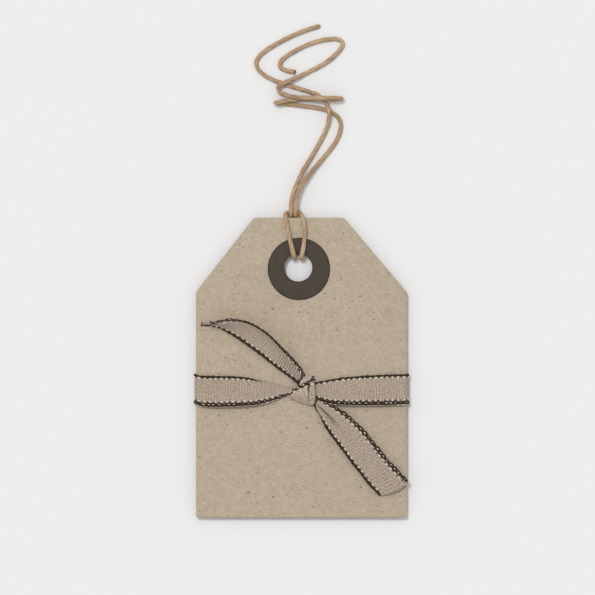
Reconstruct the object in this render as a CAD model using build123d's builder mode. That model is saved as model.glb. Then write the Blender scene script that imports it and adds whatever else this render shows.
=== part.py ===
from build123d import *

import math
import os

# A gift tag of brown board lies on its back, with +Z out of its front and +Y to its eyelet end
# The origin is under the middle of the card, on the surface that the tag lies on

# Card: a small sheet of board, its two upper corners cut off at a slant, the right one a little wider
card_width = 52.0
card_height = 74.0
card_thickness = 0.9
left_cut_width = 14.3
right_cut_width = 15.5
corner_cut_height = 18.3
card_corner_radius = 0.4

# Eyelet: one hole punched through card and rings, a little left of the middle
hole_diameter = 6.9
hole_drop = 12.3
hole_offset = 0.74

# Patch rings: thin washers stuck to both faces, not quite round the hole's centre
ring_diameter = 15.4
ring_thickness = 0.15
ring_offset = 0.15
ring_drop = 0.35

# String: waxed cord, whose back strands lie between the tag and the surface under it
string_diameter = 1.0
string_gap = 0.05
bend_share = 0.45

# Ribbon: narrow woven band, tied round the card a little below its middle
ribbon_width = 7.2
ribbon_thickness = 0.5
ribbon_gap = 0.1
ribbon_fold_radius = 0.35
ribbon_left_drop = 5.85
ribbon_right_drop = 5.35
wrap_lip = 1.2

# Knot: a flat pillow of folded ribbon on the front
knot_across = 7.4
knot_along = 6.8
knot_rise = 2.6
knot_offset = 0.28
knot_drop = 5.9
knot_gap = 0.2

# Ribbon tails: reach is measured across the card and climb or fall along it, from each root at the knot
tail_gap = 0.45
upper_tail_reach = 23.6
upper_tail_climb = 13.9
lower_tail_reach = 18.6
lower_tail_fall = 20.7

# Heights of the layers, from the surface up
card_back = string_diameter + string_gap + ring_thickness
card_front = card_back + card_thickness
band_base = card_front + ribbon_gap
band_middle = band_base + ribbon_thickness / 2
back_middle = ribbon_thickness / 2

# Places on the card
card_side = card_width / 2
card_top = card_height / 2
hole_x = -hole_offset
hole_y = card_top - hole_drop
ring_x = hole_x + ring_offset
ring_y = hole_y - ring_drop
wrap_end = card_side - wrap_lip
wrap_middle = card_side + ribbon_gap + ribbon_thickness / 2

# Knot outline from its left point, clockwise: shares of its size across and along, about its middle
knot_outline_shares = [
    (-0.50, -0.12),
    (-0.31, 0.03),
    (-0.10, 0.18),
    (-0.10, 0.32),
    (0.00, 0.48),
    (0.33, 0.50),
    (0.44, 0.27),
    (0.48, -0.02),
    (0.50, -0.33),
    (0.38, -0.46),
    (0.19, -0.50),
    (-0.08, -0.40),
    (-0.36, -0.26),
]
# Knot layers: share of its rise, and share of its outline at that height
knot_layer_shares = [(0.0, 0.90), (0.35, 1.00), (0.75, 0.86), (1.0, 0.50)]

# Front bands, from the card's side to the knot: share of the run, of the width, and of the knot's rise
left_band_shares = [
    (0.00, 1.00, 0.00),
    (0.26, 0.98, 0.00),
    (0.51, 0.88, 0.02),
    (0.66, 0.72, 0.06),
    (0.82, 0.49, 0.14),
]
right_band_shares = [
    (0.00, 1.00, 0.00),
    (0.30, 0.98, 0.00),
    (0.53, 0.94, 0.02),
    (0.70, 0.87, 0.06),
    (0.87, 0.71, 0.14),
]
band_root_rise_share = 0.22
left_root_width_share = 0.36
right_root_width_share = 0.46

# Tail stations from the root: share of the reach, of the climb or fall, of the width, and of the knot's rise
upper_tail_shares = [
    (0.00, 0.00, 0.36, 0.28),
    (0.07, 0.14, 0.46, 0.26),
    (0.18, 0.34, 0.78, 0.12),
    (0.35, 0.61, 1.00, 0.04),
    (0.57, 0.86, 1.00, 0.02),
    (0.74, 0.96, 1.00, 0.00),
    (0.83, 0.98, 1.00, 0.00),
    (1.00, 1.00, 1.00, 0.00),
]
upper_tail_rolls = [0, 14, 42, 48, 51, 66, 78, 84]
lower_tail_shares = [
    (0.00, 0.00, 0.28, 0.28),
    (0.09, 0.08, 0.45, 0.26),
    (0.19, 0.16, 0.64, 0.20),
    (0.43, 0.40, 0.88, 0.12),
    (0.70, 0.70, 0.96, 0.06),
    (1.00, 1.00, 1.00, 0.02),
]
lower_tail_rolls = [0, 4, 8, 12, 12, 10]

# String routes, through the middle of the cord: from a free strand behind the card, up through the eyelet,
# round over the card's top edge behind the two strands, and back the same way to the other strand
hitch_route = [
    (-2.52, 39.78, 2.75),
    (-2.55, 38.98, 2.62),
    (-2.55, 37.45, 0.50),
    (-2.40, 34.60, 0.50),
    (-2.25, 30.60, 0.50),
    (-2.20, 26.70, 0.50),
    (-2.20, 26.70, 2.80),
    (-2.75, 30.40, 2.80),
    (-3.50, 34.60, 2.80),
    (-4.05, 37.55, 2.80),
    (-3.90, 38.75, 1.20),
    (-2.85, 39.35, 0.55),
    (-1.15, 39.35, 0.55),
    (-0.15, 38.70, 1.20),
    (0.20, 37.50, 2.80),
    (0.90, 34.60, 2.80),
    (0.78, 30.60, 2.80),
    (0.30, 26.70, 2.80),
    (0.30, 26.70, 0.50),
    (-0.35, 30.50, 0.50),
    (-1.20, 34.50, 0.50),
    (-1.45, 37.45, 0.50),
    (-1.45, 38.98, 2.62),
    (-1.42, 39.78, 2.75),
]
# Short twin neck above the hitch, where the string swings and folds
neck_a_route = [(-2.46, 41.18, 2.75), (-2.05, 43.00, 2.55), (-1.40, 44.60, 2.25)]
neck_b_route = [(-1.36, 41.18, 2.75), (-0.92, 43.00, 2.55), (-0.15, 44.60, 2.25)]
# Shorter free end: over the longer one once, under its stacked pair, then round one wide turn
tail_a_route = [
    (-0.95, 45.80, 2.00),
    (0.20, 48.40, 1.45),
    (2.00, 51.25, 0.80),
    (3.85, 54.30, 0.50),
    (5.50, 57.30, 0.60),
    (6.60, 60.00, 1.10),
    (6.90, 62.10, 1.72),
    (6.75, 63.90, 1.72),
    (6.05, 65.50, 0.62),
    (4.60, 67.05, 0.50),
    (2.60, 68.00, 0.50),
    (-0.60, 68.90, 0.50),
    (-4.00, 69.90, 0.50),
    (-7.00, 71.00, 0.50),
    (-9.40, 72.30, 0.50),
    (-11.00, 74.00, 0.50),
    (-11.25, 75.60, 0.50),
    (-10.10, 77.30, 0.50),
    (-7.50, 79.20, 0.50),
    (-4.30, 80.95, 0.50),
    (-1.20, 82.40, 0.50),
    (1.55, 83.60, 0.50),
    (4.30, 84.55, 0.50),
]
# Longer free end: folded back on itself twice, then round two wide turns to its tip
tail_b_route = [
    (0.60, 45.80, 2.00),
    (2.40, 48.30, 1.45),
    (5.00, 51.25, 0.80),
    (7.50, 54.20, 0.50),
    (9.10, 56.70, 0.50),
    (9.80, 59.00, 0.50),
    (9.70, 61.00, 0.50),
    (8.40, 62.55, 0.50),
    (6.50, 63.50, 0.50),
    (4.00, 64.15, 0.50),
    (0.90, 64.55, 0.50),
    (-2.00, 64.90, 0.50),
    (-4.40, 65.10, 0.50),
    (-5.95, 65.25, 0.50),
    (-6.50, 65.36, 1.50),
    (-5.95, 65.50, 2.45),
    (-4.50, 65.80, 2.35),
    (-2.40, 66.12, 0.95),
    (0.10, 66.22, 0.50),
    (2.30, 66.22, 0.95),
    (4.20, 66.25, 1.78),
    (6.40, 66.25, 1.78),
    (8.20, 66.25, 0.90),
    (9.50, 66.28, 0.75),
    (10.10, 66.38, 1.65),
    (9.50, 66.50, 2.65),
    (8.10, 66.60, 3.05),
    (6.40, 66.62, 2.90),
    (4.00, 66.62, 2.90),
    (1.60, 66.62, 2.10),
    (-0.80, 66.65, 1.75),
    (-2.90, 67.05, 1.80),
    (-4.50, 67.58, 1.45),
    (-5.60, 68.15, 1.30),
    (-5.78, 69.30, 1.40),
    (-4.85, 70.05, 1.72),
    (-3.10, 70.75, 1.72),
    (-0.90, 71.70, 1.00),
    (1.80, 73.00, 0.50),
    (4.70, 74.45, 0.50),
    (7.40, 76.20, 0.50),
    (9.40, 78.20, 0.50),
    (10.45, 79.80, 0.50),
    (9.60, 81.10, 0.50),
    (7.40, 81.20, 0.50),
    (4.60, 80.75, 0.50),
    (1.60, 79.80, 0.50),
    (-1.20, 78.40, 0.50),
    (-3.60, 77.00, 0.50),
    (-5.20, 75.60, 0.50),
    (-5.35, 74.15, 0.50),
    (-4.05, 73.40, 0.50),
    (-2.75, 73.18, 0.50),
    (-1.50, 73.05, 0.50),
]


# Knot corner on the card, where the outline is widest
def knot_corner(index, outline_share=1):
    across_share, along_share = knot_outline_shares[index]
    return Vector(
        knot_offset + across_share * knot_across * outline_share,
        -knot_drop + along_share * knot_along * outline_share,
    )


# Facet of the knot between two corners: its middle, its direction and the way out of the knot
def knot_facet(first, last):
    start = knot_corner(first)
    end = knot_corner(last)
    along = (end - start).normalized()
    outward = Vector(-along.Y, along.X)
    return (start + end) / 2, along, outward


# Plane across a strip of ribbon; a positive roll lifts the strip's right-hand edge
def strip_plane(centre, heading, roll=0):
    turn = math.radians(roll)
    level_share = math.cos(turn)
    across = Vector(heading.Y * level_share, -heading.X * level_share, math.sin(turn))
    return Plane(origin=centre, x_dir=across, z_dir=heading * -1)


# Planes and widths along one front band, from the card's side to a facet of the knot
def band_stations(side, drop, facet, shares, root_width_share):
    facet_middle, along, outward = facet
    root = facet_middle + outward * knot_gap
    edge = Vector(side * wrap_end, -drop)
    level = Vector(-side, 0)
    stations = []
    for run_share, width_share, rise_share in shares:
        centre = edge + (root - edge) * run_share
        height = band_middle + rise_share * knot_rise
        plane = strip_plane(Vector(centre.X, centre.Y, height), level)
        stations.append((plane, width_share * ribbon_width))
    height = band_middle + band_root_rise_share * knot_rise
    plane = strip_plane(Vector(root.X, root.Y, height), outward * -1)
    stations.append((plane, root_width_share * ribbon_width))
    return stations


# Planes and widths along one tail, whose lower edge stays just clear of the card
def tail_stations(facet, reach, climb, shares, rolls):
    facet_middle, along, outward = facet
    root = facet_middle + outward * tail_gap
    centres = [root + Vector(reach * share[0], climb * share[1]) for share in shares]
    headings = [outward]
    for before, after in zip(centres, centres[2:]):
        headings.append((after - before).normalized())
    headings.append((centres[-1] - centres[-2]).normalized())
    stations = []
    for centre, heading, share, roll in zip(centres, headings, shares, rolls):
        width = share[2] * ribbon_width
        turn = math.radians(roll)
        stand = (width * math.sin(turn) + ribbon_thickness * math.cos(turn)) / 2
        height = band_base + stand + share[3] * knot_rise
        stations.append((strip_plane(Vector(centre.X, centre.Y, height), heading, roll), width))
    return stations


# Largest bend that each corner of a route has room for
def route_radii(points):
    corners = [Vector(point) for point in points]
    radii = []
    for before, corner, after in zip(corners, corners[1:], corners[2:]):
        arriving = corner - before
        leaving = after - corner
        half_turn = math.radians(arriving.get_angle(leaving)) / 2
        shorter = min(arriving.length, leaving.length)
        radii.append(bend_share * shorter / math.tan(half_turn))
    return radii


# Middle line of a stretch of string: straight runs joined by arcs
def string_path(points):
    with BuildLine() as route:
        FilletPolyline(*points, radius=route_radii(points))
    return route.wire()


# Planes at both ends of a stretch of string, facing out of it
def string_ends(path):
    return [Plane(origin=path @ 0, z_dir=(path % 0) * -1), Plane(origin=path @ 1, z_dir=path % 1)]


# Length, tightest bends and solid of one stretch of string, compared with its section times its length
def print_string(name, path, points, solid):
    section = math.pi * string_diameter**2 / 4
    caps = math.pi * string_diameter**3 / 6
    radii = sorted(round(radius, 2) for radius in route_radii(points))
    print(name, "length", round(path.length, 2), "smallest radii", radii[:4])
    print(name, "volume", round(solid.volume, 3), "section by length", round(section * path.length + caps, 3))


os.makedirs("parts", exist_ok=True)

# Card: sheet of board with slanted upper corners and the punched eyelet
card_outline = [
    (-card_side, -card_top),
    (card_side, -card_top),
    (card_side, card_top - corner_cut_height),
    (card_side - right_cut_width, card_top),
    (left_cut_width - card_side, card_top),
    (-card_side, card_top - corner_cut_height),
]
with BuildPart() as tag_card:
    with BuildSketch(Plane.XY.offset(card_back)) as card_sketch:
        with BuildLine():
            Polyline(*card_outline, close=True)
        make_face()
        fillet(card_sketch.vertices(), radius=card_corner_radius)
        with Locations((hole_x, hole_y)):
            Circle(hole_diameter / 2, mode=Mode.SUBTRACT)
    extrude(amount=card_thickness)
tag_card.part.label = "tag_card"
export_step(tag_card.part, "parts/tag_card.step")

# Patch rings on the card's front and back, punched with it
for name, base in (("ring_front", card_front), ("ring_back", card_back - ring_thickness)):
    with BuildPart() as ring:
        with BuildSketch(Plane.XY.offset(base)):
            with Locations((ring_x, ring_y)):
                Circle(ring_diameter / 2)
            with Locations((hole_x, hole_y)):
                Circle(hole_diameter / 2, mode=Mode.SUBTRACT)
        extrude(amount=ring_thickness)
    ring.part.label = name
    export_step(ring.part, f"parts/{name}.step")

# String: round cord with rounded ends, in the stretches that it swings and folds between
string_routes = [
    ("string_hitch", hitch_route),
    ("string_neck_a", neck_a_route),
    ("string_neck_b", neck_b_route),
    ("string_tail_a", tail_a_route),
    ("string_tail_b", tail_b_route),
]
for name, route in string_routes:
    path = string_path(route)
    ends = string_ends(path)
    with BuildPart() as stretch:
        with BuildSketch(ends[0]):
            Circle(string_diameter / 2)
        sweep(path=path)
        with Locations(*ends):
            Sphere(string_diameter / 2, arc_size1=0, align=None)
    stretch.part.label = name
    export_step(stretch.part, f"parts/{name}.step")
    print_string(name, path, route, stretch.part)

# Ribbon across the back of the card, on the surface that the tag lies on
back_outline = [
    (-wrap_end, -ribbon_left_drop - ribbon_width / 2),
    (wrap_end, -ribbon_right_drop - ribbon_width / 2),
    (wrap_end, -ribbon_right_drop + ribbon_width / 2),
    (-wrap_end, -ribbon_left_drop + ribbon_width / 2),
]
with BuildPart() as ribbon_band_back:
    with BuildSketch():
        with BuildLine():
            Polyline(*back_outline, close=True)
        make_face()
    extrude(amount=ribbon_thickness)
ribbon_band_back.part.label = "ribbon_band_back"
export_step(ribbon_band_back.part, "parts/ribbon_band_back.step")

# Ribbon round each side of the card and across its front to the knot, gathered as it goes in
bands = [
    ("ribbon_band_left", -1, ribbon_left_drop, knot_facet(0, 2), left_band_shares, left_root_width_share),
    ("ribbon_band_right", 1, ribbon_right_drop, knot_facet(6, 8), right_band_shares, right_root_width_share),
]
for name, side, drop, facet, shares, root_width_share in bands:
    with BuildPart() as band:
        with BuildSketch(Plane.XZ.offset(drop)):
            with BuildLine():
                FilletPolyline(
                    (side * wrap_end, band_middle),
                    (side * wrap_middle, band_middle),
                    (side * wrap_middle, back_middle),
                    (side * wrap_end, back_middle),
                    radius=ribbon_fold_radius,
                )
            trace(line_width=ribbon_thickness)
        extrude(amount=ribbon_width / 2, both=True)
        for plane, width in band_stations(side, drop, facet, shares, root_width_share):
            with BuildSketch(plane):
                Rectangle(width, ribbon_thickness)
        loft(ruled=True)
    band.part.label = name
    export_step(band.part, f"parts/{name}.step")

# Knot: folded ribbon drawn into a flat pillow
with BuildPart() as ribbon_knot:
    for rise_share, outline_share in knot_layer_shares:
        with BuildSketch(Plane.XY.offset(band_base + rise_share * knot_rise)):
            corners = [knot_corner(index, outline_share) for index in range(len(knot_outline_shares))]
            Polygon(*corners, align=None)
    loft(ruled=True)
ribbon_knot.part.label = "ribbon_knot"
export_step(ribbon_knot.part, "parts/ribbon_knot.step")

# Ribbon tails: the upper one turns on edge towards its tip, with the edge nearer to the eyelet raised,
# and the lower one lies nearly flat towards the card's lower right corner
upper_facet = knot_facet(3, 4)
lower_facet = knot_facet(8, 9)
tails = [
    (
        "ribbon_tail_upper", upper_facet, -upper_tail_reach, upper_tail_climb,
        upper_tail_shares, upper_tail_rolls,
    ),
    (
        "ribbon_tail_lower", lower_facet, lower_tail_reach, -lower_tail_fall,
        lower_tail_shares, lower_tail_rolls,
    ),
]
for name, facet, reach, climb, shares, rolls in tails:
    with BuildPart() as tail:
        for plane, width in tail_stations(facet, reach, climb, shares, rolls):
            with BuildSketch(plane):
                Rectangle(width, ribbon_thickness)
        loft(ruled=True)
    tail.part.label = name
    export_step(tail.part, f"parts/{name}.step")
    facet_middle, along, outward = facet
    root = facet_middle + outward * tail_gap
    root_height = band_middle + shares[0][3] * knot_rise
    print(name, "lifts about", root.X, root.Y, root_height, "along", along.X, along.Y)
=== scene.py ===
import math

import bpy
import numpy as np
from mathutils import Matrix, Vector


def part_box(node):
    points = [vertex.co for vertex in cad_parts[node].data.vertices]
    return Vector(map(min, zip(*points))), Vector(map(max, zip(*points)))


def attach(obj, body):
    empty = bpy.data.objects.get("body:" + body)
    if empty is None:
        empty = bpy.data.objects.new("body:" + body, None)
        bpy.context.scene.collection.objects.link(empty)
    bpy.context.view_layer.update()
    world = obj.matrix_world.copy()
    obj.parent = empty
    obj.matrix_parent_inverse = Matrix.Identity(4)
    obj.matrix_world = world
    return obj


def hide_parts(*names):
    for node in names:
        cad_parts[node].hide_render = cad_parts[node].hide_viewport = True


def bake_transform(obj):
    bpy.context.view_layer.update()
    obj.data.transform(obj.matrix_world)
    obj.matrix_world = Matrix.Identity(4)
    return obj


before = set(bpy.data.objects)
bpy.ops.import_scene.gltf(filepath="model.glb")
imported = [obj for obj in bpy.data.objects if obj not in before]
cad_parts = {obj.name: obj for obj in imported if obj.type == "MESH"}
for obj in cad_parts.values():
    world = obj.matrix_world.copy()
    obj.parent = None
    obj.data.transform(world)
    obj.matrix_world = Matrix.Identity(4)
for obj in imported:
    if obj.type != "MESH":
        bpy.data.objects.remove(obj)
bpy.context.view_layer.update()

# Card: the tag itself, die-cut from one sheet of grey-brown recycled board, about 0.9 mm thick.
# Its two upper corners are cut off at a slant, one hole is punched near its top edge, and the
# knife leaves the rims of the matt, flecked faces slightly crushed.
MM = 0.001
card_low, card_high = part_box("tag_card")
left_cut_width = 14.3 * MM
right_cut_width = 15.5 * MM
corner_cut_height = 18.3 * MM
corner_radius = 0.4 * MM
corner_steps = 4
edge_crush = 0.07 * MM
crush_steps = 2
hole_diameter = 6.9 * MM
hole_centre = Vector((-0.74, 24.70, 0)) * MM
punch_sides = 96
punch_depth = 20 * MM
sharp_angle = 35
level_normal = 0.9
BOARD_FACE, BOARD_EDGE = 0, 1


def linear(code):
    """Linear colour from an sRGB hex value."""
    shares = [int(code[start:start + 2], 16) / 255 for start in (1, 3, 5)]
    light = [share / 12.92 if share <= 0.04045 else ((share + 0.055) / 1.055) ** 2.4 for share in shares]
    return light + [1]


def set_inputs(tree, node, inputs):
    """Puts values, links or the first outputs of other nodes on a node's inputs."""
    for socket, value in inputs.items():
        if isinstance(value, bpy.types.Node):
            value = value.outputs[0]
        if isinstance(value, bpy.types.NodeSocket):
            tree.links.new(value, node.inputs[socket])
        else:
            node.inputs[socket].default_value = value


def add_node(tree, kind, inputs=None, **settings):
    """Adds a node with its settings and inputs."""
    node = tree.nodes.new(kind)
    for setting, value in settings.items():
        setattr(node, setting, value)
    set_inputs(tree, node, inputs or {})
    return node


def new_material(name):
    """An empty material, its node tree and its shader."""
    material = bpy.data.materials.new(name)
    material.use_nodes = True
    return material, material.node_tree, material.node_tree.nodes["Principled BSDF"]


def per_size(size_mm):
    """Texture scale at which one feature of a pattern is that many millimetres wide."""
    return 1 / (size_mm * MM)


# sockets of the Mix node when it mixes colours
FACTOR, FIRST_COLOUR, SECOND_COLOUR, MIXED_COLOUR = 0, 6, 7, 2
# nearly all values of a noise pattern lie in this span
noise_span = {"From Min": 0.3, "From Max": 0.7}


def finish_mesh(piece, angle):
    """Puts a piece's place into its mesh and smooths all edges but those sharper than an angle."""
    bpy.ops.object.mode_set(mode="OBJECT")
    bpy.ops.object.select_all(action="DESELECT")
    piece.select_set(True)
    bpy.context.view_layer.objects.active = piece
    bpy.ops.object.transform_apply(location=True, rotation=True, scale=True)
    bpy.ops.object.shade_smooth_by_angle(angle=math.radians(angle))


def punch_hole(piece):
    """Cuts the eyelet's hole through a piece, as one punch does through card and patches."""
    bpy.ops.object.mode_set(mode="OBJECT")
    bpy.ops.object.select_all(action="DESELECT")
    bpy.ops.mesh.primitive_cylinder_add(
        vertices=punch_sides, radius=hole_diameter / 2, depth=punch_depth, location=hole_centre,
    )
    punch = bpy.context.object
    bpy.context.view_layer.objects.active = piece
    cut = piece.modifiers.new("punch", "BOOLEAN")
    cut.object = punch
    cut.solver = "EXACT"
    bpy.ops.object.modifier_apply(modifier=cut.name)
    bpy.data.objects.remove(punch)


def crush_edges(piece, width):
    """Rounds a piece's sharp edges by a small width."""
    rounding = piece.modifiers.new("crush", "BEVEL")
    rounding.width = width
    rounding.segments = crush_steps
    rounding.limit_method = "ANGLE"
    bpy.ops.object.modifier_apply(modifier=rounding.name)


bpy.ops.object.select_all(action="DESELECT")
bpy.ops.mesh.primitive_cube_add(size=1, location=(card_low + card_high) / 2, scale=card_high - card_low)
card = bpy.context.object
card.name = "card_board"
bpy.ops.object.transform_apply(location=True, rotation=True, scale=True)
bpy.ops.object.mode_set(mode="EDIT")
for side, cut_width in ((-1, left_cut_width), (1, right_cut_width)):
    bpy.ops.mesh.select_all(action="SELECT")
    bpy.ops.mesh.bisect(
        plane_co=(side * card_high.x, card_high.y - corner_cut_height, 0),
        plane_no=(side * corner_cut_height, cut_width, 0),
        use_fill=True,
        clear_outer=True,
    )
bpy.ops.mesh.select_mode(type="EDGE")
bpy.ops.mesh.select_all(action="DESELECT")
bpy.ops.object.mode_set(mode="OBJECT")
for edge in card.data.edges:
    start, end = (card.data.vertices[index].co for index in edge.vertices)
    edge.select = abs(start.z - end.z) > (card_high.z - card_low.z) / 2
bpy.ops.object.mode_set(mode="EDIT")
bpy.ops.mesh.bevel(offset=corner_radius, segments=corner_steps)
bpy.ops.object.mode_set(mode="OBJECT")
punch_hole(card)
crush_edges(card, edge_crush)
finish_mesh(card, sharp_angle)

# Recycled grey-brown board, calendered but not coated: soft mottling, short fibres, a few dark specks of
# bark or ink and a few pale flecks, with hardly any gloss
board_paper, tree, shader = new_material("recycled_board")
place = add_node(tree, "ShaderNodeTexCoord").outputs["Object"]
mottling = add_node(tree, "ShaderNodeTexNoise", {
    "Vector": place, "Scale": per_size(1.3), "Detail": 4, "Roughness": 0.6,
})
mottle = add_node(tree, "ShaderNodeMapRange", {"Value": mottling, **noise_span})
colour = add_node(tree, "ShaderNodeMix", {
    FACTOR: mottle, FIRST_COLOUR: linear("#b1a28c"), SECOND_COLOUR: linear("#bdae9a"),
}, data_type="RGBA").outputs[MIXED_COLOUR]
fibre_place = add_node(tree, "ShaderNodeMapping", {"Vector": place, "Scale": (0.85, 1.75, 1)})
grain = add_node(tree, "ShaderNodeTexNoise", {
    "Vector": fibre_place, "Scale": per_size(0.45), "Detail": 3, "Roughness": 0.6,
})
grain_shade = add_node(tree, "ShaderNodeMapRange", {
    "Value": grain, **noise_span, "To Min": 0.85, "To Max": 1.14,
})
colour = add_node(tree, "ShaderNodeMix", {
    FACTOR: 1.0, FIRST_COLOUR: colour, SECOND_COLOUR: grain_shade,
}, data_type="RGBA", blend_type="MULTIPLY").outputs[MIXED_COLOUR]
# how far a fleck's rim fades outwards and inwards, as shares of the spacing
fade_out, fade_in = -0.02, 0.07
# kinds of fleck: spacing in mm, turn in radians, stretch, half size as a share of the spacing, share of the
# cells that hold one, strength and colour
for spacing, turned, stretch, half_size, kept_share, strength, tint in (
    (1.5, 1.5, (1.0, 2.0, 1.0), 0.27, 0.55, 0.70, "#83725a"),
    (3.1, 3.1, (1.0, 1.8, 1.0), 0.15, 0.50, 0.80, "#614f3b"),
    (2.3, 2.3, (1.0, 2.6, 1.0), 0.20, 0.40, 0.55, "#d6c8b4"),
):
    stretched = add_node(tree, "ShaderNodeMapping", {
        "Vector": place, "Rotation": (0, 0, turned), "Scale": stretch,
    })
    cells = add_node(tree, "ShaderNodeTexVoronoi", {"Vector": stretched, "Scale": per_size(spacing)})
    chance = add_node(tree, "ShaderNodeSeparateColor", {"Color": cells.outputs["Color"]})
    reach = add_node(tree, "ShaderNodeMapRange", {
        "Value": chance, "From Min": 1 - kept_share, "To Max": half_size,
    })
    inside = add_node(tree, "ShaderNodeMath", {0: reach, 1: cells}, operation="SUBTRACT")
    fleck = add_node(tree, "ShaderNodeMapRange", {
        "Value": inside, "From Min": fade_out, "From Max": fade_in, "To Max": strength,
    })
    colour = add_node(tree, "ShaderNodeMix", {
        FACTOR: fleck, FIRST_COLOUR: colour, SECOND_COLOUR: linear(tint),
    }, data_type="RGBA").outputs[MIXED_COLOUR]
bump = add_node(tree, "ShaderNodeBump", {"Height": grain, "Strength": 0.35, "Distance": 0.05 * MM})
set_inputs(tree, shader, {
    "Base Color": colour, "Normal": bump, "Roughness": 0.9, "Specular IOR Level": 0.2,
})

# The same board where the knife went through: a darker, ragged edge with its pressed layers showing
board_edge, tree, shader = new_material("die_cut_board_edge")
place = add_node(tree, "ShaderNodeTexCoord").outputs["Object"]
layered = add_node(tree, "ShaderNodeMapping", {"Vector": place, "Scale": (1, 1, 9)})
layers = add_node(tree, "ShaderNodeTexNoise", {"Vector": layered, "Scale": per_size(1.6), "Detail": 4})
layer = add_node(tree, "ShaderNodeMapRange", {"Value": layers, **noise_span})
colour = add_node(tree, "ShaderNodeMix", {
    FACTOR: layer, FIRST_COLOUR: linear("#8b7a63"), SECOND_COLOUR: linear("#b5a48d"),
}, data_type="RGBA").outputs[MIXED_COLOUR]
bump = add_node(tree, "ShaderNodeBump", {"Height": layers, "Strength": 0.5, "Distance": 0.06 * MM})
set_inputs(tree, shader, {
    "Base Color": colour, "Normal": bump, "Roughness": 0.95, "Specular IOR Level": 0.15,
})

card.data.materials.append(board_paper)
card.data.materials.append(board_edge)
for face in card.data.polygons:
    face.material_index = BOARD_FACE if abs(face.normal.z) > level_normal else BOARD_EDGE
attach(card, "card")
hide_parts("tag_card")

# Patch rings: two thin washers of dark brown kraft paper, glued round the hole on the front and the back
# so that the string can't tear the board; the same punch cuts the hole through them and the card.
front_ring_low, front_ring_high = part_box("ring_front")
ring_centre = (front_ring_low + front_ring_high) / 2
ring_radius = (front_ring_high.x - front_ring_low.x) / 2
ring_sides = 160
rim_crush = 0.04 * MM
rim_width = 0.5 * MM
rim_strength = 0.75

# Dark kraft paper: dyed through, matt, faintly mottled, and darker towards its outer rim and round the hole
dark_kraft, tree, shader = new_material("dark_kraft_paper")
place = add_node(tree, "ShaderNodeTexCoord").outputs["Object"]
mottling = add_node(tree, "ShaderNodeTexNoise", {
    "Vector": place, "Scale": per_size(1.8), "Detail": 5, "Roughness": 0.6,
})
mottle = add_node(tree, "ShaderNodeMapRange", {"Value": mottling, **noise_span})
colour = add_node(tree, "ShaderNodeMix", {
    FACTOR: mottle, FIRST_COLOUR: linear("#453e35"), SECOND_COLOUR: linear("#4c453b"),
}, data_type="RGBA").outputs[MIXED_COLOUR]
flattened = add_node(tree, "ShaderNodeVectorMath", {0: place, 1: (1, 1, 0)}, operation="MULTIPLY")
for centre, from_radius, to_radius in (
    (ring_centre, ring_radius - rim_width, ring_radius),
    (hole_centre, hole_diameter / 2 + rim_width, hole_diameter / 2),
):
    radius = add_node(tree, "ShaderNodeVectorMath", {
        0: flattened, 1: (centre.x, centre.y, 0),
    }, operation="DISTANCE").outputs["Value"]
    rim = add_node(tree, "ShaderNodeMapRange", {
        "Value": radius, "From Min": from_radius, "From Max": to_radius, "To Max": rim_strength,
    })
    colour = add_node(tree, "ShaderNodeMix", {
        FACTOR: rim, FIRST_COLOUR: colour, SECOND_COLOUR: linear("#332a22"),
    }, data_type="RGBA").outputs[MIXED_COLOUR]
fibre = add_node(tree, "ShaderNodeTexNoise", {"Vector": place, "Scale": per_size(0.3), "Detail": 3})
bump = add_node(tree, "ShaderNodeBump", {"Height": fibre, "Strength": 0.3, "Distance": 0.04 * MM})
set_inputs(tree, shader, {
    "Base Color": colour, "Normal": bump, "Roughness": 0.8, "Specular IOR Level": 0.25,
})

for ring_name, ring_node in (("patch_ring_front", "ring_front"), ("patch_ring_back", "ring_back")):
    low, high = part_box(ring_node)
    bpy.ops.object.select_all(action="DESELECT")
    bpy.ops.mesh.primitive_cylinder_add(
        vertices=ring_sides, radius=ring_radius, depth=high.z - low.z, location=(low + high) / 2,
    )
    ring = bpy.context.object
    ring.name = ring_name
    bpy.ops.object.transform_apply(location=True, rotation=True, scale=True)
    punch_hole(ring)
    crush_edges(ring, rim_crush)
    finish_mesh(ring, sharp_angle)
    ring.data.materials.append(dark_kraft)
    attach(ring, "card")
    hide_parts(ring_node)

# String: one length of waxed three-strand hemp cord, 1.1 mm thick and about 0.25 m long, doubled, put
# through the eyelet and drawn up through its own loop over the card's top edge. Both ends are cut bare,
# and the first is rounded off.
cord_radius = 0.55 * MM
cord_lay = 7.0 * MM
cord_sides = 24
strands = 3
groove_share = 0.10
route_steps = 12
soft_angle = 50
HEMP, CUT = 0, 1
# how the cord swells and thins along its run, as shares of its radius
swell_waves = ((0.035, 1.9, 0), (0.025, 0.71, 1))
eyelet_swelling = 0.2
eyelet_reach = 4.5 * MM
rounded_start = 0.15 * MM
rounded_length = 0.45 * MM

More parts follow.
